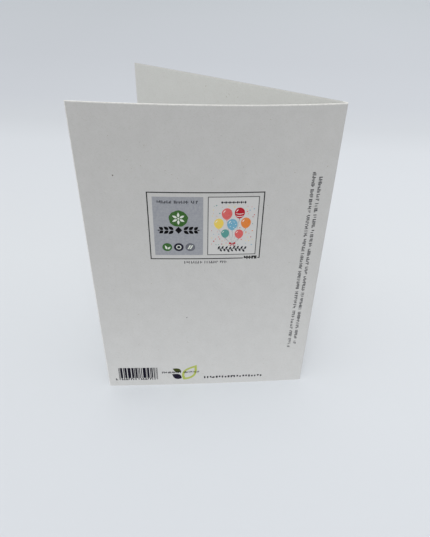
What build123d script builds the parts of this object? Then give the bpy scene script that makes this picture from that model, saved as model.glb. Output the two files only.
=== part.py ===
from build123d import *
import os
from math import cos, radians, sin

# A greeting card: one sheet of heavy card stock, scored down the middle, folded once and stood open
# on its bottom edges. Seen from above it is a V with the fold at +X and the mouth at -X. The back leaf
# is on the -Y side and the front leaf on the +Y side. Lengths are millimetres and angles are degrees.

# Driving dimensions
card_height = 150.0        # length of the fold and of the free edges
closed_width = 104.0       # spine to free edge of the closed card
sheet_thickness = 0.6      # bulky recycled stock
opening_angle = 36.0       # between the two leaves, measured fold to free edge
crease_radius = 0.3        # inner radius that the scored stock keeps at the fold
crease_bead = 0.12         # how far the pressed bead stands past the centre of the fold, into the V
back_bow_top = 3.9         # the opened back leaf bulges outward by this much at its top edge
back_bow_bottom = 0.7      # and by this much where it stands
front_bow_top = 0.45       # the front leaf stays almost flat
front_bow_bottom = 0.3
bow_place = 0.44           # the bulge is fullest at this share of the leaf, counted from the fold

# Worked out from the driving dimensions
spine_radius = crease_radius + sheet_thickness
leaf_length = closed_width - spine_radius
half_angle = radians(opening_angle / 2)

BACK = -1
FRONT = 1


def outward_normal(side, direction):
    """Unit vector square to a direction in plan, pointing out of the V on that leaf's side."""
    return Vector(direction.Y, -direction.X) * (side / direction.length)


def leaf_face(side, bow, distance):
    """Plan curve of one face of a leaf, from the fold to the free edge.

    The leaf bends away from its chord by bow. The face runs at a fixed distance from the line that
    starts at the centre of the fold: the crease radius for the inner face, the spine radius for the
    outer one.
    """
    along = Vector(-cos(half_angle), side * sin(half_angle))
    outward = Vector(sin(half_angle), side * cos(half_angle))
    bend = along * (bow_place * leaf_length) + outward * (2 * bow)
    free_edge = along * leaf_length
    start_normal = outward_normal(side, bend)
    end_normal = outward_normal(side, free_edge - bend)
    mitre = (start_normal + end_normal) * (1 / (1 + start_normal.dot(end_normal)))
    return Bezier(
        start_normal * distance,
        bend + mitre * distance,
        free_edge + end_normal * distance,
    )


def sheet_section(back_bow, front_bow):
    """The sheet cut square to the fold: both leaves, the rounded spine and the bead inside it."""
    back_outer = leaf_face(BACK, back_bow, spine_radius)
    back_inner = leaf_face(BACK, back_bow, crease_radius)
    front_outer = leaf_face(FRONT, front_bow, spine_radius)
    front_inner = leaf_face(FRONT, front_bow, crease_radius)
    spine = ThreePointArc(back_outer @ 0, Vector(spine_radius, 0), front_outer @ 0)
    bead = ThreePointArc(back_inner @ 0, Vector(-crease_bead, 0), front_inner @ 0)
    back_cut = Line(back_outer @ 1, back_inner @ 1)
    front_cut = Line(front_outer @ 1, front_inner @ 1)
    return make_face([
        spine, front_outer, front_cut, front_inner, bead, back_inner, back_cut, back_outer,
    ])


def folded_card():
    """The sheet's section at its foot joined by straight lines to its section at the top."""
    foot = sheet_section(back_bow_bottom, front_bow_bottom)
    head = Pos(0, 0, card_height) * sheet_section(back_bow_top, front_bow_top)
    sheet = loft([foot, head], ruled=True)
    extent = sheet.bounding_box()
    return Pos(-extent.center().X, -extent.center().Y, -extent.min.Z) * sheet


card = folded_card()
card.label = "folded_card"

os.makedirs("parts", exist_ok=True)
export_step(card, "parts/folded_card.step")

box = card.bounding_box()
print(f"folded_card: {box.size.X:.2f} x {box.size.Y:.2f} x {box.size.Z:.2f} mm, {card.volume:.0f} mm3")
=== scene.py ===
import math
import random
import bmesh
import bpy
from mathutils import Matrix, Vector
from mathutils.geometry import delaunay_2d_cdt


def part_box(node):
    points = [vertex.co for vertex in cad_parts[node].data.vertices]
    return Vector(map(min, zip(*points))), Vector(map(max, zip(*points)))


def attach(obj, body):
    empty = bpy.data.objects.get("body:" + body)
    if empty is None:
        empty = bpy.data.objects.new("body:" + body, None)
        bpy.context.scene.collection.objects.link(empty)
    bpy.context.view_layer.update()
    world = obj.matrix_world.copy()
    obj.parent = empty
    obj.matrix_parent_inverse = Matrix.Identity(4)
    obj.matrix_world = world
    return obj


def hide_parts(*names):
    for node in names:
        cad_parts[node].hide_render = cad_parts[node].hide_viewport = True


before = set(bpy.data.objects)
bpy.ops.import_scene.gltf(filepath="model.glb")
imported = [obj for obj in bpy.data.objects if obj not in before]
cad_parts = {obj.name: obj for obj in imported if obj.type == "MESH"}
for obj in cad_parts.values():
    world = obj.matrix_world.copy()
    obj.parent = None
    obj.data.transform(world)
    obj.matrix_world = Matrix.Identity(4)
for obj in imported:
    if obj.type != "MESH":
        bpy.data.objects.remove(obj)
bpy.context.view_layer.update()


# The folded sheet
# The card is one sheet of bulky recycled board, cut square, scored down the middle and folded once.
# It stands open in a V on its bottom edges, and the back leaf bulges outward, most at its top edge.
MM = 0.001
BACK = -1
FRONT = 1
FOOT = 0
HEAD = 1
OUTER_FACE = 0
INNER_FACE = 1
CUT_EDGE = 2
PAINTED_SHADE_CUT_EDGE = 3

closed_width = 104.0 * MM
sheet_thickness = 0.6 * MM
crease_radius = 0.3 * MM
crease_bead = 0.12 * MM
half_angle = math.radians(36.0 / 2)
bow_place = 0.44
leaf_bow = {BACK: (0.7 * MM, 3.9 * MM), FRONT: (0.3 * MM, 0.45 * MM)}
leaf_columns = 64
fold_steps = 12
sheet_rows = 60
edge_softness = 0.04 * MM
sharp_angle = math.radians(50)

card_low, card_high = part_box("folded_card")
card_height = card_high.z - card_low.z
spine_radius = crease_radius + sheet_thickness
leaf_length = closed_width - spine_radius


def outward_normal(side, direction):
    """Unit vector square to a direction in plan, pointing out of the V on that leaf's side."""
    return Vector((direction.y, -direction.x)) * (side / direction.length)


def leaf_plan(side, level, share, distance):
    """Plan point of a leaf at its foot or head, at a share of the way out from the fold."""
    along = Vector((-math.cos(half_angle), side * math.sin(half_angle)))
    outward = Vector((math.sin(half_angle), side * math.cos(half_angle)))
    bend = along * (bow_place * leaf_length) + outward * (2 * leaf_bow[side][level])
    free_edge = along * leaf_length
    start_normal = outward_normal(side, bend)
    end_normal = outward_normal(side, free_edge - bend)
    mitre = (start_normal + end_normal) / (1 + start_normal.dot(end_normal))
    start = start_normal * distance
    middle = bend + mitre * distance
    end = free_edge + end_normal * distance
    return start * (1 - share) ** 2 + middle * (2 * share * (1 - share)) + end * share ** 2


front_reach = max(leaf_plan(FRONT, level, 1, spine_radius).y for level in (FOOT, HEAD))
fold_centre = Vector((card_high.x - spine_radius, card_high.y - front_reach))


def raised(foot, head, rise):
    """The point at a share of the height, on the straight line between the foot and head sections."""
    plan = fold_centre + foot.lerp(head, rise)
    return Vector((plan.x, plan.y, card_low.z + rise * card_height))


def arc_through(start, middle, end, steps):
    """Points along the circle through three plan points."""
    a = middle - start
    b = end - start
    twice_area = 2 * a.cross(b)
    centre = start + Vector((
        b.y * a.length_squared - a.y * b.length_squared,
        a.x * b.length_squared - b.x * a.length_squared,
    )) / twice_area
    sweep = (start - centre).angle_signed(end - centre)
    if (start - centre).angle_signed(middle - centre) * sweep < 0:
        sweep -= math.copysign(2 * math.pi, sweep)
    turns = [Matrix.Rotation(-sweep * i / steps, 2) for i in range(steps + 1)]
    return [centre + turn @ (start - centre) for turn in turns]


def face_chain(level, distance, fold_reach):
    """One face of the sheet in plan, from the back leaf's free edge round the fold to the front leaf's."""
    shares = [i / leaf_columns for i in range(leaf_columns + 1)]
    back = [leaf_plan(BACK, level, share, distance) for share in reversed(shares)]
    front = [leaf_plan(FRONT, level, share, distance) for share in shares]
    fold = arc_through(back[-1], Vector((fold_reach, 0)), front[0], fold_steps)
    return back + fold[1:-1] + front


def sheet_mesh():
    """The closed sheet. The front leaf's head has its own material, darker than the other cut edges:
    painted shade.
    """
    outer = [face_chain(level, spine_radius, spine_radius) for level in (FOOT, HEAD)]
    inner = [face_chain(level, crease_radius, -crease_bead) for level in (FOOT, HEAD)]
    count = len(outer[0])
    last = count - 1
    vertices = []
    for row in range(sheet_rows + 1):
        rise = row / sheet_rows
        vertices += [raised(foot, head, rise) for foot, head in zip(*outer)]
        vertices += [raised(foot, head, rise) for foot, head in zip(*inner)]
    outer_faces = []
    inner_faces = []
    cut_faces = []
    for row in range(sheet_rows):
        low = 2 * count * row
        high = low + 2 * count
        for i in range(last):
            j = count + i
            outer_faces.append((low + i, low + i + 1, high + i + 1, high + i))
            inner_faces.append((low + j + 1, low + j, high + j, high + j + 1))
        cut_faces.append((low + count, low, high, high + count))
        cut_faces.append((low + last, low + count + last, high + count + last, high + last))
    head = 2 * count * sheet_rows
    front_head_faces = []
    for i in range(last):
        cut_faces.append((i + 1, i, count + i, count + i + 1))
        head_face = (head + i, head + i + 1, head + count + i + 1, head + count + i)
        if i < count - leaf_columns:
            cut_faces.append(head_face)
        else:
            front_head_faces.append(head_face)
    mesh = bpy.data.meshes.new("folded_sheet")
    mesh.from_pydata(vertices, [], outer_faces + inner_faces + cut_faces + front_head_faces)
    finishes = [OUTER_FACE] * len(outer_faces) + [INNER_FACE] * len(inner_faces)
    finishes += [CUT_EDGE] * len(cut_faces) + [PAINTED_SHADE_CUT_EDGE] * len(front_head_faces)
    mesh.polygons.foreach_set("material_index", finishes)
    mesh.shade_smooth()
    mesh.set_sharp_from_angle(angle=sharp_angle)
    return mesh


def shade(red, green, blue):
    """A colour given as it looks, in steps of 255, as the shader takes it."""
    def linear(step):
        value = step / 255
        return value / 12.92 if value <= 0.04045 else ((value + 0.055) / 1.055) ** 2.4
    return (linear(red), linear(green), linear(blue), 1.0)


def add_node(tree, kind, settings=None, **inputs):
    """A node with its settings. Inputs go by name, or by number as i0, and take values or sockets."""
    made = tree.nodes.new(kind)
    for name, value in (settings or {}).items():
        setattr(made, name, value)
    for name, value in inputs.items():
        numbered = name[0] == "i" and name[1:].isdigit()
        socket = made.inputs[int(name[1:])] if numbered else made.inputs[name]
        if isinstance(value, bpy.types.NodeSocket):
            tree.links.new(value, socket)
        else:
            socket.default_value = value
    return made


def worked(tree, operation, first, second=0.0):
    """The result of one step of arithmetic in a shader."""
    return add_node(tree, "ShaderNodeMath", {"operation": operation}, i0=first, i1=second).outputs[0]


def ranged(tree, value, start, stop, low=0.0, high=1.0, smooth=False):
    """A value carried from one range to another, and held at its ends."""
    return add_node(
        tree, "ShaderNodeMapRange", {"interpolation_type": "SMOOTHSTEP" if smooth else "LINEAR"},
        Value=value, **{"From Min": start, "From Max": stop, "To Min": low, "To Max": high},
    ).outputs[0]


def blended(tree, share, first, second):
    """Two colours mixed by a share, each of them a fixed colour or a socket."""
    return add_node(tree, "ShaderNodeMix", {"data_type": "RGBA"}, i0=share, i6=first, i7=second).outputs[2]


def new_group(name, values, masks):
    """An empty shader group, and the sockets of its named inputs and outputs."""
    group = bpy.data.node_groups.new(name, "ShaderNodeTree")
    for title, value in values.items():
        socket = group.interface.new_socket(title, in_out="INPUT", socket_type="NodeSocketFloat")
        socket.default_value = value
    for title in masks:
        group.interface.new_socket(title, in_out="OUTPUT", socket_type="NodeSocketFloat")
    return group, group.nodes.new("NodeGroupInput").outputs, group.nodes.new("NodeGroupOutput").inputs


# Scales are features for each millimetre. Each way in which fibres lie has its angle and its stretch.
cloud_scale = 0.16
speck_scale = 2.4
fibre_scale = 3.2
fibre_ways = ((0.5, 7.0), (-0.95, 9.0), (1.35, 6.0))
fibre_levels = (0.56, 0.74)
speck_tooth = 0.6


def pulp_group():
    """Recycled pulp: slow clouds of tone, crossing fibres, and the tooth of fibres and fine specks."""
    group, given, results = new_group("recycled_pulp", {"Grain": 1.0}, ("Clouds", "Fibres", "Tooth"))
    place = group.nodes.new("ShaderNodeTexCoord")
    in_mm = add_node(
        group, "ShaderNodeVectorMath", {"operation": "SCALE"}, i0=place.outputs["Object"],
        Scale=worked(group, "MULTIPLY", given["Grain"], 1 / MM),
    ).outputs[0]
    clouds = add_node(
        group, "ShaderNodeTexNoise", Vector=in_mm, Scale=cloud_scale, Detail=5.0, Roughness=0.55,
    )
    specks = add_node(
        group, "ShaderNodeTexNoise", Vector=in_mm, Scale=speck_scale, Detail=3.0, Roughness=0.7,
    )
    strands = []
    for turn, stretch in fibre_ways:
        turned_place = add_node(
            group, "ShaderNodeVectorRotate", {"rotation_type": "Y_AXIS"}, Vector=in_mm, Angle=turn,
        )
        drawn_out = add_node(
            group, "ShaderNodeVectorMath", {"operation": "MULTIPLY"}, i0=turned_place.outputs[0],
            i1=(1.0, 1.0, 1.0 / stretch),
        )
        streaks = add_node(
            group, "ShaderNodeTexNoise", Vector=drawn_out.outputs[0], Scale=fibre_scale, Detail=2.0,
            Distortion=0.6,
        )
        strands.append(ranged(group, streaks.outputs["Fac"], *fibre_levels))
    fibres = strands[0]
    for strand in strands[1:]:
        fibres = worked(group, "MAXIMUM", fibres, strand)
    tooth = add_node(
        group, "ShaderNodeMath", {"operation": "MULTIPLY_ADD"}, i0=specks.outputs["Fac"], i1=speck_tooth,
        i2=fibres,
    )
    group.links.new(clouds.outputs["Fac"], results["Clouds"])
    group.links.new(fibres, results["Fibres"])
    group.links.new(tooth.outputs[0], results["Tooth"])
    return group


recycled_pulp = pulp_group()


# How wide the pale lines are: painted highlight along the cut edges and the fold, with some rubbing. The
# head's is wider than those of the sides and the foot, as painted highlight where the head catches the
# light, and each fades out over the last part of its width.
edge_band = 0.45 * MM
fold_band = 0.9 * MM
head_over_sides = 2.5
full_until = 0.6
rubs_and_glints_per_metre = 900.0
rub_and_glint_levels = (0.35, 0.65)
least_rub_and_glint = 0.5


def rubbed_and_lit_group():
    """Painted highlight and rubbing: a fine pale line along the cut edges, and the back of the fold."""
    group, given, results = new_group("handled_sheet", {
        "Height": card_height, "Length": leaf_length, "Fold X": fold_centre.x, "Fold Y": fold_centre.y,
        "Edge Band": edge_band, "Fold Band": fold_band,
    }, ("Edges", "Fold"))
    place = group.nodes.new("ShaderNodeTexCoord")
    axes = add_node(group, "ShaderNodeSeparateXYZ", Vector=place.outputs["Object"])
    across = worked(group, "SUBTRACT", axes.outputs["X"], given["Fold X"])
    aside = worked(group, "SUBTRACT", axes.outputs["Y"], given["Fold Y"])
    squares = [worked(group, "MULTIPLY", way, way) for way in (across, aside)]
    reach = worked(group, "SQRT", worked(group, "ADD", *squares))
    to_head = worked(group, "SUBTRACT", given["Height"], axes.outputs["Z"])
    to_side = worked(group, "SUBTRACT", given["Length"], reach)
    to_side_or_foot = worked(group, "MINIMUM", axes.outputs["Z"], to_side)
    side_and_foot_scaled = worked(group, "MULTIPLY", to_side_or_foot, head_over_sides)
    # The head's line is the widest: painted highlight where the head catches the light.
    nearest_edge = worked(group, "MINIMUM", to_head, side_and_foot_scaled)
    rubs_and_glints = add_node(
        group, "ShaderNodeTexNoise", Vector=place.outputs["Object"], Scale=rubs_and_glints_per_metre, Detail=4.0,
    )
    wander = ranged(group, rubs_and_glints.outputs["Fac"], *rub_and_glint_levels, least_rub_and_glint, 1.0)
    for name, band, distance in (("Edges", "Edge Band", nearest_edge), ("Fold", "Fold Band", reach)):
        share = worked(group, "DIVIDE", distance, given[band])
        fade = ranged(group, share, full_until, 1.0, 1.0, 0.0, smooth=True)
        group.links.new(worked(group, "MULTIPLY", fade, wander), results[name])
    return group


handled_sheet = rubbed_and_lit_group()
cloud_levels = (0.3, 0.7)
fibre_contrast = 0.4
fold_wear_and_highlight = 0.3
board_roughness = (0.82, 0.96)
board_bump = 0.5
board_sheen = 0.25


def new_material(name):
    """An empty material and its shader, which keeps its own plain settings."""
    material = bpy.data.materials.new(name)
    material.use_nodes = True
    return material, material.node_tree, material.node_tree.nodes["Principled BSDF"]


def card_stock(name, light_tone, dark_tone, fibre_tone, worn_and_lit_tone, tooth_depth):
    """Uncoated board with clouds of tone, fibres a shade apart, and painted highlight with rubbing."""
    material, tree, shader = new_material(name)
    pulp = add_node(tree, "ShaderNodeGroup", {"node_tree": recycled_pulp}, Grain=1.0)
    clouded = blended(tree, ranged(tree, pulp.outputs["Clouds"], *cloud_levels), dark_tone, light_tone)
    fibre_share = worked(tree, "MULTIPLY", pulp.outputs["Fibres"], fibre_contrast)
    fibrous = blended(tree, fibre_share, clouded, fibre_tone)
    rubbed_and_lit = add_node(tree, "ShaderNodeGroup", {"node_tree": handled_sheet})
    fold_share = worked(tree, "MULTIPLY", rubbed_and_lit.outputs["Fold"], fold_wear_and_highlight)
    wear_and_highlight = worked(tree, "MAXIMUM", rubbed_and_lit.outputs["Edges"], fold_share)
    # The pale lines are painted highlight along the edges and the fold, with some rubbing.
    tree.links.new(blended(tree, wear_and_highlight, fibrous, worn_and_lit_tone), shader.inputs["Base Color"])
    roughness = ranged(tree, pulp.outputs["Tooth"], 0.0, 1.0, *board_roughness)
    tree.links.new(roughness, shader.inputs["Roughness"])
    bump = add_node(
        tree, "ShaderNodeBump", Height=pulp.outputs["Tooth"], Strength=board_bump, Distance=tooth_depth,
    )
    tree.links.new(bump.outputs[0], shader.inputs["Normal"])
    shader.inputs["Specular IOR Level"].default_value = board_sheen
    return material


sheet = bpy.data.objects.new("card_sheet", sheet_mesh())
bpy.context.collection.objects.link(sheet)
softened = sheet.modifiers.new("softened_edges", "BEVEL")
softened.width = edge_softness
softened.segments = 2
softened.limit_method = "ANGLE"
softened.angle_limit = sharp_angle
softened.use_clamp_overlap = False
for name, light, dark, fibre, worn_and_lit, tooth in (
    ("recycled_board", (206, 206, 205), (202, 202, 201), (188, 188, 182), (244, 244, 240), 0.02),
    # The inner faces are a lighter copy of the same board: painted light.
    ("inner_board", (215, 216, 213), (212, 213, 210), (199, 198, 192), (221, 221, 217), 0.02),
    # The cut edges are paler than the faces: partly the board's paler core, partly painted highlight.
    ("cut_board_edge", (232, 232, 229), (226, 226, 222), (210, 208, 201), (229, 229, 225), 0.05),
    # The front leaf's head is a darker copy of the cut edge: painted shade.
    ("dull_cut_edge", (168, 169, 166), (162, 163, 160), (151, 151, 145), (172, 173, 169), 0.05),
):
    tones = [shade(*tone) for tone in (light, dark, fibre, worn_and_lit)]
    sheet.data.materials.append(card_stock(name, *tones, tooth * MM))
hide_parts("folded_card")
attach(sheet, "root")


# Pulp flecks
# Recycled pulp keeps stray specks of old ink and bits of straw and fibre. They lie in the skin of the
# board on all four faces, thinly and at random, and a few larger ones lie on the outside of the back.
def leaf_share(across):
    """How far round the leaf's curve a point lies, from its distance out along the chord."""
    spread = 1 - 2 * bow_place
    return (math.sqrt(bow_place ** 2 + spread * across / leaf_length) - bow_place) / spread


def on_leaf(side, across, up, lift, outside):
    """A point a little proud of a leaf's outer or inner face, or sunk in it where lift is negative."""
    distance = spine_radius + lift if outside else crease_radius - lift
    share = leaf_share(across)
    foot = leaf_plan(side, FOOT, share, distance)
    head = leaf_plan(side, HEAD, share, distance)
    return raised(foot, head, up / card_height)


def inside_loops(point, loops):
    """Whether a point lies inside an odd number of the outlines."""
    crossings = 0
    for loop in loops:
        for a, b in zip(loop, loop[1:] + loop[:1]):
            if (a.y > point.y) != (b.y > point.y):
                crossings += point.x < a.x + (point.y - a.y) / (b.y - a.y) * (b.x - a.x)
    return crossings % 2 == 1


# A film's triangles are no larger than a patch, so that it follows the leaf's curve.
patch = 3.0 * MM
same_point = 1e-9


def filled(loops):
    """Points and triangles that fill one shape, given as its outline and the outlines of its holes."""
    points = []
    edges = []
    for loop in loops:
        first = len(points)
        for a, b in zip(loop, loop[1:] + loop[:1]):
            steps = max(1, math.ceil((b - a).length / patch))
            points += [a.lerp(b, i / steps) for i in range(steps)]
        count = len(points) - first
        edges += [(first + i, first + (i + 1) % count) for i in range(count)]
    low = Vector((min(p.x for p in points), min(p.y for p in points)))
    high = Vector((max(p.x for p in points), max(p.y for p in points)))
    for i in range(1, math.ceil((high.x - low.x) / patch)):
        for j in range(1, math.ceil((high.y - low.y) / patch)):
            middle = low + Vector((i, j)) * patch
            if inside_loops(middle, loops):
                points.append(middle)
    flat, _, triangles = delaunay_2d_cdt(points, edges, [], 0, same_point)[:3]
    kept = [t for t in triangles if inside_loops(sum((flat[i] for i in t), Vector((0, 0))) / 3, loops)]
    return flat, kept


# Every film starts this deep in the board, and each layer stands one step higher than the last.
ink_root = 0.01 * MM
ink_step = 0.012 * MM
film_sharp_angle = math.radians(40)


def film(name, side, shapes, layer, material, outside=True):
    """A piece that lies on a leaf as thin closed films and follows its curve, in one layer of ink."""
    vertices = []
    faces = []
    for loops in shapes:
        flat, triangles = filled(loops)
        first = len(vertices)
        count = len(flat)
        vertices += [on_leaf(side, p.x, p.y, ink_step * (layer + 1), outside) for p in flat]
        vertices += [on_leaf(side, p.x, p.y, -ink_root, outside) for p in flat]
        sides = set()
        for a, b, c in triangles:
            faces.append((first + a, first + b, first + c))
            faces.append((first + count + c, first + count + b, first + count + a))
            sides |= {(a, b), (b, c), (c, a)}
        for a, b in sorted(sides):
            if (b, a) not in sides:
                faces.append((first + b, first + a, first + count + a, first + count + b))
    mesh = bpy.data.meshes.new(name)
    mesh.from_pydata(vertices, [], faces)
    tidied = bmesh.new()
    tidied.from_mesh(mesh)
    bmesh.ops.delete(tidied, geom=[v for v in tidied.verts if not v.link_faces], context="VERTS")
    bmesh.ops.recalc_face_normals(tidied, faces=tidied.faces)
    tidied.to_mesh(mesh)
    tidied.free()
    mesh.shade_smooth()
    mesh.set_sharp_from_angle(angle=film_sharp_angle)
    mesh.materials.append(material)
    piece = bpy.data.objects.new(name, mesh)
    bpy.context.collection.objects.link(piece)
    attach(piece, "root")


bare_board = shade(205, 205, 203)
ink_grain = 1.6
tooth_levels = (0.35, 1.3)
blotch_grain = 7.0
blotch_levels = (0.35, 0.65)
ink_roughness = (0.55, 0.75)
ink_bump = 0.4
ink_tooth_depth = 0.012 * MM
ink_sheen = 0.06


def inked(name, colour, starved=0.1):
    """Ink that the board shows through a little, where its tooth or a blotch has taken less."""
    material, tree, shader = new_material(name)
    pulp = add_node(tree, "ShaderNodeGroup", {"node_tree": recycled_pulp}, Grain=ink_grain)
    patchy = add_node(tree, "ShaderNodeGroup", {"node_tree": recycled_pulp}, Grain=blotch_grain)
    missed = ranged(tree, pulp.outputs["Tooth"], *tooth_levels, 0.0, starved)
    blotched = ranged(tree, patchy.outputs["Clouds"], *blotch_levels, 0.0, starved)
    tone = blended(tree, worked(tree, "ADD", missed, blotched), colour, bare_board)
    tree.links.new(tone, shader.inputs["Base Color"])
    roughness = ranged(tree, pulp.outputs["Clouds"], 0.0, 1.0, *ink_roughness)
    tree.links.new(roughness, shader.inputs["Roughness"])
    bump = add_node(
        tree, "ShaderNodeBump", Height=pulp.outputs["Tooth"], Strength=ink_bump, Distance=ink_tooth_depth,
    )
    tree.links.new(bump.outputs[0], shader.inputs["Normal"])
    shader.inputs["Specular IOR Level"].default_value = ink_sheen
    return material


chance = random.Random(7)
fleck_points = 9
fleck_ragged = (0.75, 1.1)
fleck_bend = 0.6


def fleck(across, up, length, width, turn):
    """A ragged speck or a short bent fibre, as one outline. Its sizes are in millimetres."""
    outline = []
    for i in range(fleck_points):
        round_it = 2 * math.pi * i / fleck_points
        x = length * MM / 2 * math.cos(round_it) * chance.uniform(*fleck_ragged)
        y = width * MM / 2 * math.sin(round_it) * chance.uniform(*fleck_ragged)
        y += width * MM * fleck_bend * math.cos(2 * round_it)
        outline.append(Vector((
            across + x * math.cos(turn) - y * math.sin(turn),
            up + x * math.sin(turn) + y * math.cos(turn),
        )))
    return [outline]


fold_margin = 3 * MM
edge_margin = 2 * MM


def scattered(count, length, width):
    """Flecks thrown over one leaf, clear of its edges."""
    return [
        fleck(
            chance.uniform(fold_margin, leaf_length - edge_margin),
            chance.uniform(edge_margin, card_height - edge_margin),
            chance.uniform(*length), chance.uniform(*width), chance.uniform(0, math.pi),
        )
        for _ in range(count)
    ]


old_ink = inked("old_ink_fleck", shade(84, 84, 88), 0.2)
straw = inked("straw_fleck", shade(144, 130, 108), 0.15)
pale_fibre = inked("pale_fibre", shade(222, 222, 218), 0.1)
bark = inked("bark_fleck", shade(58, 38, 24), 0.02)
large_specks = [fleck(61.0 * MM, 48.6 * MM, 0.74, 0.64, 0.4)]
large_straws = [
    fleck(across * MM, up * MM, length, length / 2, turn)
    for across, up, length, turn in (
        (28.7, 144.9, 0.42, 1.5), (88.8, 137.9, 0.36, 2.4), (77.5, 126.5, 0.36, 0.5),
        (81.1, 125.2, 0.36, 1.1), (63.5, 121.4, 0.36, 2.9), (34.4, 133.3, 0.34, 0.2),
        (76.8, 69.3, 0.38, 1.9), (21.1, 17.9, 0.46, 0.8),
    )
]
for side, leaf in ((BACK, "back"), (FRONT, "front")):
    for outside, face in ((True, "outer"), (False, "inner")):
        specks = scattered(36, (0.12, 0.3), (0.1, 0.2))
        straws = scattered(34, (0.4, 1.2), (0.08, 0.14))
        fibres = scattered(60, (0.6, 1.8), (0.06, 0.1))
        if outside and side == BACK:
            specks += large_specks
            straws += large_straws
        film(f"{leaf}_{face}_ink_flecks", side, specks, 0, old_ink, outside)
        film(f"{leaf}_{face}_straw_flecks", side, straws, 0, straw, outside)
        film(f"{leaf}_{face}_pale_fibres", side, fibres, 0, pale_fibre, outside)
film("back_outer_bark_fleck", BACK, [fleck(88.6 * MM, 122.05 * MM, 0.62, 0.5, 2.2)], 1, bark)


# The ruled frame on the back
# A thin grey rule printed round the middle of the back leaf. Its bottom side breaks near the fold for
# a short row of bold ticks.
def placed(side, across, up, scale, shapes):
    """Artwork in millimetres, x to the reader's right, laid on the outside of a leaf about one point."""
    return [
        [[Vector((across + side * scale * x * MM, up + scale * y * MM)) for x, y in loop] for loop in loops]
        for loops in shapes
    ]


def printed(name, across, up, shapes, layer, ink):
    """Artwork printed on the back at its full size, about a point given in millimetres."""
    film(name, BACK, placed(BACK, across * MM, up * MM, 1, shapes), layer, ink)


def box_loop(x0, y0, x1, y1):
    """A rectangle's corners."""
    return [(x0, y0), (x1, y0), (x1, y1), (x0, y1)]


tick_weights = (1.0, 1.15, 1.3)
tick_spans = ((0, 1), (0, 1), (0, 1), (0, 0.75), (0.25, 1))
second_spans = ((0, 1), (0, 0.45), (0.55, 1), (0.25, 0.75))
second_place = 0.55
second_weight = 0.9
run_gap = 0.9


def tick_row(length, height, pitch, weight, seed, runs=(4, 6, 8, 10), paired=0.75):
    """Upright ticks of mixed height and weight from x = 0, in runs with a short gap after each.

    The chance that a tick has a second one close behind it is paired.
    """
    draw = random.Random(seed)
    shapes = []
    x = 0.0
    while x < length - pitch / 2:
        for _ in range(draw.choice(runs)):
            if x > length - pitch / 2:
                break
            stem = weight * draw.choice(tick_weights)
            low, high = draw.choice(tick_spans)
            shapes.append([box_loop(x, low * height, x + stem, high * height)])
            if draw.random() < paired:
                low, high = draw.choice(second_spans)
                left = x + second_place * pitch
                shapes.append([box_loop(left, low * height, left + second_weight * weight, high * height)])
            x += pitch
        x += run_gap * pitch
    return shapes


rule_ink = inked("rule_ink", shade(38, 39, 40), 0.02)
frame_left = -24.1
frame_right = 24.0
frame_low = -16.4
frame_high = 16.25
rule = 0.45
break_left = 16.5
break_right = 23.0
ruled_frame = [[[
    (break_left, frame_low), (frame_left, frame_low), (frame_left, frame_high), (frame_right, frame_high),
    (frame_right, frame_low), (break_right, frame_low), (break_right, frame_low + rule),
    (frame_right - rule, frame_low + rule), (frame_right - rule, frame_high - rule),
    (frame_left + rule, frame_high - rule), (frame_left + rule, frame_low + rule),
    (break_left, frame_low + rule),
]]]
printed("ruled_frame", 52.2, 99.25, ruled_frame, 1, rule_ink)
black_ink = inked("black_ink", shade(9, 8, 11), 0.005)
printed("bold_ticks", 35.3, 82.55, tick_row(5.9, 1.65, 1.15, 0.49, 54, (6,), 1), 1, black_ink)


# The tinted panel
# A flat grey-lilac panel printed inside the frame, on its outer side. It carries a row of fine ticks, a
# round green seal, a dark band of leaves and three small discs.
def oval(x, y, across, up, count=36, wobble=0.0):
    """An oval outline, uneven by a small share when wobble is given."""
    outline = []
    for i in range(count):
        turn = 2 * math.pi * i / count
        uneven = math.sin(5 * turn + 0.6) + 0.8 * math.sin(9 * turn) + 0.5 * math.sin(14 * turn)
        reach = 1 + wobble * uneven
        outline.append((x + across * reach * math.cos(turn), y + up * reach * math.sin(turn)))
    return outline


def leaf_outline(x, y, length, width, turn, count=9):
    """A pointed leaf that grows from a point in one direction."""
    upper = [
        (length * i / count, width / 2 * math.sin(math.pi * (i / count) ** 0.85)) for i in range(count + 1)
    ]
    outline = upper + [(px, -py) for px, py in reversed(upper[1:-1])]
    return [
        (x + px * math.cos(turn) - py * math.sin(turn), y + px * math.sin(turn) + py * math.cos(turn))
        for px, py in outline
    ]


tint_ink = inked("lilac_tint", shade(154, 157, 165), 0.2)
fine_ink = inked("fine_tick_ink", shade(34, 36, 44), 0.02)
seal_green = inked("seal_green", shade(54, 100, 40), 0.05)
seal_light = inked("seal_light", shade(224, 230, 221), 0.1)
disc_green = inked("disc_green", shade(56, 103, 46), 0.04)
disc_dark = inked("disc_dark", shade(32, 31, 47), 0.02)
disc_grey = inked("disc_grey", shade(107, 109, 118), 0.04)
panel_across = 63.7
seal_up = 103.3
printed("tinted_panel", panel_across, 99.2, [[box_loop(-10.42, -14.15, 10.3, 14.15)]], 1, tint_ink)
printed("panel_ticks", 72.2, 110.35, tick_row(17.0, 1.35, 1.0, 0.27, 3), 2, fine_ink)
printed("green_seal", panel_across, seal_up, [[oval(0, 0, 3.95, 3.85, 72, 0.018)]], 2, seal_green)
petal_root = 0.62
petal_turns = [math.radians(90 + 60 * i) for i in range(6)]
rosette = [
    [leaf_outline(petal_root * math.cos(turn), petal_root * math.sin(turn), 2.3, 1.02, turn)]
    for turn in petal_turns
]
rosette.append([oval(0, 0, 0.42, 0.42, 20)])
printed("seal_rosette", panel_across, seal_up, rosette, 3, seal_light)

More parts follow.
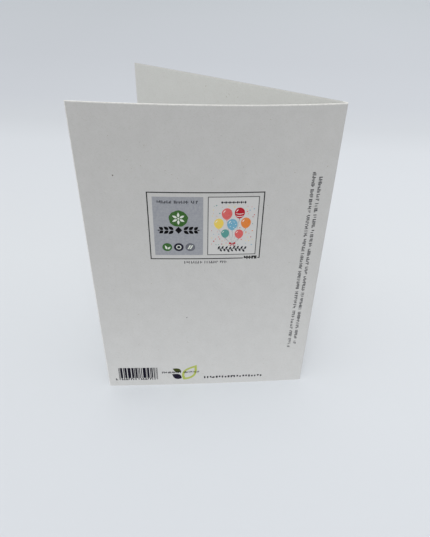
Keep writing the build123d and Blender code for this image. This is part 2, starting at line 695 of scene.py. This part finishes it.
band_lean = 38
band = [[[(-1.5, 0), (0, -1.75), (1.5, 0), (0, 1.75)]]]
for way in (-1, 1):
    for i in range(3):
        root = way * (2.15 + 2.15 * i)
        for lean in (-1, 1):
            turn = math.radians(band_lean) * lean if way > 0 else math.radians(180 - band_lean * lean)
            band.append([leaf_outline(root, 0.2 * lean, 2.75 - 0.25 * i, 1.5, turn)])
    band.append([leaf_outline(way * 7.7, 0, 1.3, 0.55, 0 if way > 0 else math.pi)])
printed("leaf_band", panel_across, 97.7, band, 2, black_ink)

disc_up = 89.2
disc_shape = oval(0, 0, 2.1, 2.05)
sprig = [
    [leaf_outline(-0.1, -1.15, 2.2, 0.9, math.radians(112))],
    [leaf_outline(0.2, -1.1, 1.8, 0.8, math.radians(48))],
]
ring = [[oval(0, 0, 1.12, 1.08), oval(0, 0, 0.72, 0.7)]]
slants = [
    [[(-1.25 + step, -0.95), (-0.62 + step, -0.95), (0.33 + step, 0.95), (-0.3 + step, 0.95)]]
    for step in (0, 0.95)
]
discs = (
    ("green_disc", disc_green, 68.8, "sprig_on_disc", sprig),
    ("dark_disc", disc_dark, 63.85, "ring_on_disc", ring),
    ("grey_disc", disc_grey, 58.9, "slants_on_disc", slants),
)
for name, ink, across, _, _ in discs:
    printed(name, across, disc_up, [[disc_shape]], 2, ink)
for _, _, across, name, emblem in discs:
    printed(name, across, disc_up, emblem, 3, seal_light)


# The picture, small on the back and large on the front
# A bunch of seven balloons tied with a bow, with confetti round it, a row of lozenges above and a dark
# garland below. It fills the front of the card, and the back shows it at a fifth of that size.
def stroke(points, widths):
    """The outline of a pen stroke along a line of points, with a width at each."""
    left = []
    right = []
    for i, (x, y) in enumerate(points):
        ahead = points[min(i + 1, len(points) - 1)]
        behind = points[max(i - 1, 0)]
        way = Vector((ahead[0] - behind[0], ahead[1] - behind[1])).normalized()
        half = widths[i] / 2
        left.append((x - way.y * half, y + way.x * half))
        right.append((x + way.y * half, y - way.x * half))
    return left + right[::-1]


def swelling(count, most, least=0.0):
    """Widths along a stroke that swells in the middle and thins toward its ends."""
    return [least + most * math.sin(math.pi * (i + 0.5) / count) for i in range(count)]


# A balloon's proportions, as shares of its radius.
balloon_rise = 1.18
narrowing = 0.16
neck_flare = 0.13
neck_length = 0.17
knot_drop = 1.35
balloon_points = 48


def balloon_outline(x, y, radius):
    """An egg-shaped balloon, narrow end down, and the flare of its neck."""
    outline = []
    for i in range(balloon_points):
        turn = math.pi * (-0.5 + 2 * i / balloon_points)
        pinch = 1 - narrowing * (0.5 - 0.5 * math.sin(turn)) ** 2
        outline.append((x + radius * pinch * math.cos(turn), y + balloon_rise * radius * math.sin(turn)))
    neck = y - balloon_rise * radius
    flare = neck_flare * radius
    flare_foot = neck - neck_length * radius
    outline[0] = (x + 0.05 * radius, neck + 0.002)
    return outline, [
        (x - 0.03, neck - 0.02), (x - flare, flare_foot), (x + flare, flare_foot), (x + 0.03, neck - 0.02),
    ]


# Each balloon's ink, the middle of its body and its radius, in millimetres at full size.
balloons = (
    ("coral", -13.0, 31.0, 11.5), ("crimson", 13.5, 33.0, 11.0), ("yellow", -29.5, 8.0, 10.5),
    ("sky", -1.0, 5.5, 11.5), ("orange", 27.5, 9.0, 11.0), ("teal", -15.5, -16.5, 9.0),
    ("coral", 14.0, -18.0, 9.5),
)
balloon_inks = {
    "coral": inked("coral_ink", shade(218, 96, 94), 0.1),
    "crimson": inked("crimson_ink", shade(182, 20, 42), 0.03),
    "yellow": inked("yellow_ink", shade(236, 208, 92), 0.1),
    "sky": inked("sky_ink", shade(110, 172, 200), 0.1),
    "orange": inked("orange_ink", shade(228, 130, 50), 0.08),
    "teal": inked("teal_ink", shade(84, 154, 148), 0.1),
}
highlight_ink = inked("highlight_ink", shade(238, 238, 234), 0.1)
string_ink = inked("string_ink", shade(80, 82, 90), 0.1)
pen_ink = inked("pen_ink", shade(24, 24, 34), 0.02)
tie = (0.5, -42.0)
string_steps = 12
string_sway = 1.2
string_gather = 1.35
string_pitch = 0.42
middle_string = 3


def string_lean(balloon):
    """The angle at which the straight way from the bow to a balloon's knot leans."""
    _, x, y, radius = balloon
    return math.atan2(x - tie[0], y - knot_drop * radius - tie[1])


balloon_shapes = {colour: [] for colour in balloon_inks}
string_shapes = []
highlights = []
fan = sorted(balloons, key=string_lean)
for balloon in balloons:
    colour, x, y, radius = balloon
    body, neck = balloon_outline(x, y, radius)
    balloon_shapes[colour] += [[body], [neck]]
    start = (x, y - knot_drop * radius)
    end = (tie[0] + string_pitch * (fan.index(balloon) - middle_string), tie[1] + 0.3)
    line = []
    for i in range(string_steps + 1):
        t = i / string_steps
        sway = string_sway * math.sin(2 * math.pi * t) * (1 if x < tie[0] else -1)
        line.append((
            start[0] + (end[0] - start[0]) * t ** string_gather + sway * (1 - t),
            start[1] + (end[1] - start[1]) * t,
        ))
    string_shapes.append([stroke(line, [0.42 - 0.02 * i for i in range(string_steps + 1)])])
    gleam = [
        (x + 0.66 * radius * math.cos(math.radians(a)), y + 0.8 * radius * math.sin(math.radians(a)))
        for a in range(112, 172, 6)
    ]
    highlights.append([stroke(gleam, swelling(len(gleam), 0.16 * radius))])
# Six dots on the sky balloon, two sagging belts on the crimson one, and the ends of the strings.
dot_radius = 0.85
for x, y in ((2.5, 12.0), (6.2, 5.5), (1.8, -1.5), (-5.2, 1.5), (-3.0, 8.6), (5.0, -4.0)):
    highlights.append([oval(x, y, dot_radius, dot_radius, 14)])
belt_left = 13.5 - 8.2
belt_pitch = 1.64
belt_sag = 0.06
for belt_up in (29.2 - 4.4, 29.2 + 1.4):
    belt = [(belt_left + belt_pitch * i, belt_up + belt_sag * (i - 5) ** 2) for i in range(11)]
    highlights.append([stroke(belt, swelling(len(belt), 1.0, 0.5))])
for place, spread in ((-0.6, -7.5), (-0.2, -5.0), (0.2, 5.5), (0.6, 7.0)):
    tail = [(tie[0] + place + spread * (i / 8) ** 1.3, tie[1] - 0.6 - 4.4 * i / 8) for i in range(9)]
    string_shapes.append([stroke(tail, [0.2 + 0.03 * i for i in range(9)])])

bow_wing = (
    (1.45, 0.4), (3.4, 2.7), (5.6, 3.4), (6.9, 2.6), (7.2, 0.8), (6.6, -0.9), (5.2, -1.7), (3.2, -1.5),
    (1.45, -0.4),
)
bow_end = ((0.2, -1.32), (1.2, -1.05), (3.1, -3.4), (4.6, -6.0), (3.4, -5.7), (2.7, -6.6), (1.7, -4.2))
bow = [[oval(tie[0], tie[1], 1.3, 1.2, 18)]]
for way in (-1, 1):
    for part in (bow_wing, bow_end):
        bow.append([[(tie[0] + way * x, tie[1] + y) for x, y in part]])

confetti_count = 54
confetti_clearance = 3.2
confetti_spacing = 5


def by_balloon(x, y):
    """Whether a point lies on a balloon or close beside it."""
    return any(
        ((x - balloon_x) / (radius + confetti_clearance)) ** 2
        + ((y - balloon_y) / (1.3 * radius + confetti_clearance)) ** 2 < 1
        for _, balloon_x, balloon_y, radius in balloons
    )


confetti = {colour: [] for colour in balloon_inks}
thrown = []
throw = random.Random(23)
while len(thrown) < confetti_count:
    x = throw.uniform(-45, 45)
    y = throw.uniform(-46, 52)
    colour = throw.choice(sorted(confetti))
    size = throw.uniform(0.7, 1.5)
    turn = throw.uniform(0, math.pi)
    corners = throw.choice((3, 4, 5, 16))
    by_string = y < -4 and abs(x) < 18 + 0.3 * (y + 4)
    crowded = any(abs(x - px) < confetti_spacing and abs(y - py) < confetti_spacing for px, py in thrown)
    if by_string or crowded or by_balloon(x, y):
        continue
    turns = [turn + 2 * math.pi * i / corners for i in range(corners)]
    bit = [(x + size * math.cos(t), y + size * math.sin(t)) for t in turns]
    confetti[colour].append([bit])
    thrown.append(bit[0])

bead_up = 58
bead_pitch = 4.0
bead_row = []
for i in range(-6, 7):
    x = bead_pitch * i
    half, rise = (2.15, 3.5) if i % 2 == 0 else (1.7, 2.1)
    bead_row.append([[(x - half, bead_up), (x, bead_up - rise), (x + half, bead_up), (x, bead_up + rise)]])


garland_up = -55.8
garland_reach = 31
garland_wave = 1.1
stem_steps = 48
stem_width = 1.3
garland_leaves = 15
first_leaf = -30
leaf_pitch = 4.15
leaf_lean = 58


def garland_stem(x):
    """Height of the garland's wavy stem at a place along it."""
    return garland_up + garland_wave * math.sin(2 * math.pi * x / garland_reach)


stem_places = [-garland_reach + 2 * garland_reach * i / stem_steps for i in range(stem_steps + 1)]
garland = [[stroke([(x, garland_stem(x)) for x in stem_places], [stem_width] * len(stem_places))]]
for i in range(garland_leaves):
    x = first_leaf + leaf_pitch * i
    way = 1 if i % 2 == 0 else -1
    length = 8.4 if i % 4 < 2 else 7.0
    root = garland_stem(x) + 0.75 * way
    garland.append([leaf_outline(x, root, length, 4.2, math.radians(leaf_lean * way))])


def print_picture(leaf, side, across, up, scale, first_layer):
    """Every ink of the picture, laid about one point of a leaf."""
    layers = [
        ("strings", string_shapes, 0, string_ink), ("bow", bow, 1, balloon_inks["crimson"]),
        ("highlights", highlights, 2, highlight_ink), ("bead_row", bead_row, 1, pen_ink),
        ("garland", garland, 1, pen_ink),
    ]
    for colour, ink in balloon_inks.items():
        layers.append((f"{colour}_balloons", balloon_shapes[colour] + confetti[colour], 1, ink))
    for name, shapes, layer, ink in layers:
        film(f"{leaf}_{name}", side, placed(side, across, up, scale, shapes), first_layer + layer, ink)


picture_across = 40.9
picture_up = 99.25
picture_half_width = 10.46
picture_half_height = 14.08
picture_rule = 0.35
small_scale = 0.2


def picture_edge(out):
    """The small picture's rectangle, grown by a distance on every side."""
    across = picture_half_width + out
    up = picture_half_height + out
    return box_loop(-across, -up, across, up)


picture_rule_ink = inked("picture_rule_ink", shade(88, 89, 90), 0.05)
picture_ground = inked("picture_ground", shade(211, 211, 210), 0.05)
picture_frame = [picture_edge(picture_rule / 2), picture_edge(-picture_rule / 2)]
printed("small_picture_ground", picture_across, picture_up, [[picture_edge(0)]], 1, picture_ground)
printed("small_picture_frame", picture_across, picture_up, [picture_frame], 2, picture_rule_ink)
print_picture("small", BACK, picture_across * MM, picture_up * MM, small_scale, 2)
print_picture("front", FRONT, leaf_length / 2 + 0.4 * MM, card_height / 2, 1.0, 0)


# Rows of fine ticks
# Thin rows of small upright ticks in dark grey ink: one centred under the frame, and two that run down
# the back leaf close to the fold.
def turned(shapes):
    """The same artwork turned a quarter clockwise."""
    return [[[(y, -x) for x, y in loop] for loop in loops] for loops in shapes]


printed("row_under_frame", 61.6, 80.5, tick_row(19.0, 1.35, 1.0, 0.27, 5), 1, fine_ink)
printed("outer_row_by_fold", 9.35, 123.2, turned(tick_row(97.8, 1.5, 1.1, 0.31, 8)), 1, fine_ink)
printed("inner_row_by_fold", 6.4, 121.0, turned(tick_row(93.4, 1.5, 1.1, 0.31, 9)), 1, fine_ink)


# The bar pattern
# Near-black upright bars of mixed widths at the foot of the back leaf, by its free edge. Three pairs of
# thin bars run lower than the rest, and small ticks stand under the others.
bar_ink = inked("bar_ink", shade(12, 10, 28), 0.005)
bars_across = 97.5
bar_count = 90
bar_module = 20.35 / bar_count
bar_height = 7.75
guard_drop = 1.3
guards = (0, 2, 44, 46, 87, 89)
bar_fields = ((4, 43), (48, 86))
bar_widths = (1, 2, 3, 5, 7)
bar_gaps = (1, 1, 2, 2)
stripe = random.Random(41)
filled_modules = set()
for start, stop in bar_fields:
    module = start
    while module < stop:
        width = stripe.choice(bar_widths)
        filled_modules |= set(range(module, min(module + width, stop)))
        module += width + stripe.choice(bar_gaps)
bars = [[box_loop(g * bar_module, -guard_drop, (g + 1) * bar_module, bar_height)] for g in guards]
module = 0
while module < bar_count:
    run = 0
    while module + run in filled_modules:
        run += 1
    if run:
        bars.append([box_loop(module * bar_module, 0, (module + run) * bar_module, bar_height)])
    module += max(run, 1)
printed("upright_bars", bars_across, 5.8, bars, 1, bar_ink)
under_bars = []
for left, length in ((-1.9, 1.2), (1.2, 8.6), (11.3, 8.6)):
    for loops in tick_row(length, 1.4, 1.2, 0.42, 13):
        under_bars.append([[(left + x, y) for x, y in loop] for loop in loops])
printed("ticks_under_bars", bars_across, 4.3, under_bars, 1, bar_ink)


# The three leaves
# A small printed ornament beside the bars: an open lime leaf and two short dark ones, with a row of fine
# ticks across them. A row of bolder ticks lies to its right.
lime_ink = inked("lime_ink", shade(170, 182, 82), 0.1)
olive_ink = inked("olive_ink", shade(60, 68, 24), 0.02)
navy_ink = inked("navy_ink", shade(22, 18, 38), 0.01)
mark_across = 63.0
mark_up = 9.4
lime_turn = math.radians(57)
lime_leaf = [[
    leaf_outline(-0.6, -5.6, 13.2, 7.0, lime_turn, 18),
    leaf_outline(0.4, -4.05, 9.2, 4.6, lime_turn, 14),
]]
navy_leaf = [[leaf_outline(-1.5, -4.5, 6.0, 3.9, math.radians(147), 12)]]
olive_leaf = [[leaf_outline(-1.6, 0.5, 5.2, 3.0, math.radians(150), 12)]]
printed("lime_leaf", mark_across, mark_up, lime_leaf, 1, lime_ink)
printed("navy_leaf", mark_across, mark_up, navy_leaf, 1, navy_ink)
printed("olive_leaf", mark_across, mark_up, olive_leaf, 1, olive_ink)
printed("row_across_leaves", 74.8, 9.0, tick_row(20.0, 1.3, 1.05, 0.36, 17), 3, bar_ink)
printed("bold_row_by_leaves", 52.5, 4.4, tick_row(31.7, 1.6, 1.6, 0.74, 2, (40,), 0.25), 1, bar_ink)


# The floor
# A pale table top, which keeps the card's soft shadow. A pool of light is painted on it: palest round the
# card and greyer far behind it. Beyond a hand's width in front of the card it throws hardly any light back
# on it.
floor_half_width = 4.0
floor_gap = 0.02 * MM

# The painted light on the floor fades with distance in a direction turned this far from straight back.
floor_way = math.radians(12.7)
floor_tones_painted_light = (
    (-0.10, shade(211, 215, 220)),
    (0.10, shade(214, 218, 222)),
    (0.26, shade(211, 215, 220)),
    (0.34, shade(209, 213, 218)),
    (0.42, shade(201, 205, 210)),
    (0.52, shade(197, 201, 207)),
    (0.80, shade(193, 197, 203)),
    (1.90, shade(188, 193, 198)),
)
# The painted light also grows a little from left to right across the floor.
side_reach = 0.35
painted_side_light_change = 0.037
bright_from = -0.125
dim_to = -0.17
dim_tone = shade(20, 20, 21)

floor_corners = box_loop(-floor_half_width, -floor_half_width, floor_half_width, floor_half_width)
floor_mesh = bpy.data.meshes.new("floor")
floor_mesh.from_pydata([(x, y, 0) for x, y in floor_corners], [], [(0, 1, 2, 3)])
floor = bpy.data.objects.new("floor", floor_mesh)
floor.location.z = card_low.z - floor_gap
bpy.context.collection.objects.link(floor)
floor_paint, floor_tree, floor_shader = new_material("pale_floor")
floor_place = floor_tree.nodes.new("ShaderNodeTexCoord").outputs["Object"]


def floor_distance(way):
    """How far a point of the floor lies in one direction."""
    return add_node(
        floor_tree, "ShaderNodeVectorMath", {"operation": "DOT_PRODUCT"}, i0=floor_place, i1=way,
    ).outputs["Value"]


distance_back = floor_distance((-math.sin(floor_way), math.cos(floor_way), 0.0))
distance_right = floor_distance((math.cos(floor_way), math.sin(floor_way), 0.0))
nearest = floor_tones_painted_light[0][0]
farthest = floor_tones_painted_light[-1][0]
floor_ramp = add_node(
    floor_tree, "ShaderNodeValToRGB", Fac=ranged(floor_tree, distance_back, nearest, farthest),
)
floor_ramp.color_ramp.interpolation = "LINEAR"
stops = floor_ramp.color_ramp.elements
while len(stops) < len(floor_tones_painted_light):
    stops.new(0.5)
for stop, (place, _) in zip(stops, floor_tones_painted_light):
    stop.position = (place - nearest) / (farthest - nearest)
for stop, (_, tone) in zip(stops, floor_tones_painted_light):
    stop.color = tone
painted_side_light = ranged(floor_tree, distance_right, -side_reach, side_reach, 1 - painted_side_light_change, 1 + painted_side_light_change)
floor_painted_light = add_node(
    floor_tree, "ShaderNodeVectorMath", {"operation": "SCALE"}, i0=floor_ramp.outputs[0], Scale=painted_side_light,
)
floor_axes = add_node(floor_tree, "ShaderNodeSeparateXYZ", Vector=floor_place)
rays = floor_tree.nodes.new("ShaderNodeLightPath")
pale = ranged(floor_tree, floor_axes.outputs["Y"], dim_to, bright_from, smooth=True)
for kind in ("Is Camera Ray", "Is Glossy Ray", "Is Transmission Ray"):
    pale = worked(floor_tree, "MAXIMUM", pale, rays.outputs[kind])
floor_tone = blended(floor_tree, pale, dim_tone, floor_painted_light.outputs[0])
floor_tree.links.new(floor_tone, floor_shader.inputs["Base Color"])
floor_shader.inputs["Roughness"].default_value = 0.9
floor_shader.inputs["Specular IOR Level"].default_value = 0.1
floor_mesh.materials.append(floor_paint)


# Light
# An even pale surround like a bright room, with three broad soft lamps far off: the main one in front of
# the back leaf, halfway up the sky, a weak one higher and to the left, and one overhead.
lamp_breadth = math.radians(40)
surround_strength = 0.63


def distant_lamp(name, elevation, bearing, strength):
    """A broad soft lamp far off, at a bearing in degrees to the right of straight in front of the card."""
    lamp = bpy.data.lights.new(name, "SUN")
    lamp.energy = strength
    lamp.angle = lamp_breadth
    rise = math.radians(elevation)
    turn = math.radians(bearing)
    toward = Vector((math.sin(turn) * math.cos(rise), -math.cos(turn) * math.cos(rise), math.sin(rise)))
    made = bpy.data.objects.new(name, lamp)
    made.rotation_euler = (-toward).to_track_quat("-Z", "Y").to_euler()
    bpy.context.collection.objects.link(made)


distant_lamp("front", 45, 10, 1.17)
distant_lamp("high_left", 60, -50, 0.2)
distant_lamp("overhead", 88, 0, 0.5)
surround = bpy.data.worlds.new("surround")
surround.use_nodes = True
surround.node_tree.nodes["Background"].inputs["Color"].default_value = (1.0, 1.0, 1.0, 1.0)
surround.node_tree.nodes["Background"].inputs["Strength"].default_value = surround_strength
bpy.context.scene.world = surround


# The camera
# It stands close in front of the back leaf, a little above the card's top edge, and looks down at it.
# Its lens and its place come from the outline of the card as the photograph shows it.
photo_height = 537
focal_pixels = 477.3
centre_right = 9.3
centre_down = 7.45
camera_yaw = math.radians(-12.71)
camera_pitch = math.radians(35.66)
camera_roll = math.radians(2.08)
camera_from_fold = Vector((-1.66 * MM, -188.84 * MM, 200.09 * MM))

camera_data = bpy.data.cameras.new("camera")
camera_data.sensor_width = 36.0
camera_data.lens = camera_data.sensor_width * focal_pixels / photo_height
camera_data.shift_x = -centre_right / photo_height
camera_data.shift_y = centre_down / photo_height
camera_data.clip_start = 0.01
camera = bpy.data.objects.new("camera", camera_data)
camera.matrix_world = (
    Matrix.Translation(camera_from_fold + Vector((fold_centre.x, fold_centre.y, card_low.z)))
    @ Matrix.Rotation(-camera_yaw, 4, "Z")
    @ Matrix.Rotation(math.pi / 2 - camera_pitch, 4, "X")
    @ Matrix.Rotation(camera_roll, 4, "Z")
)
bpy.context.collection.objects.link(camera)
bpy.context.scene.camera = camera
bpy.context.scene.view_settings.view_transform = "Standard"
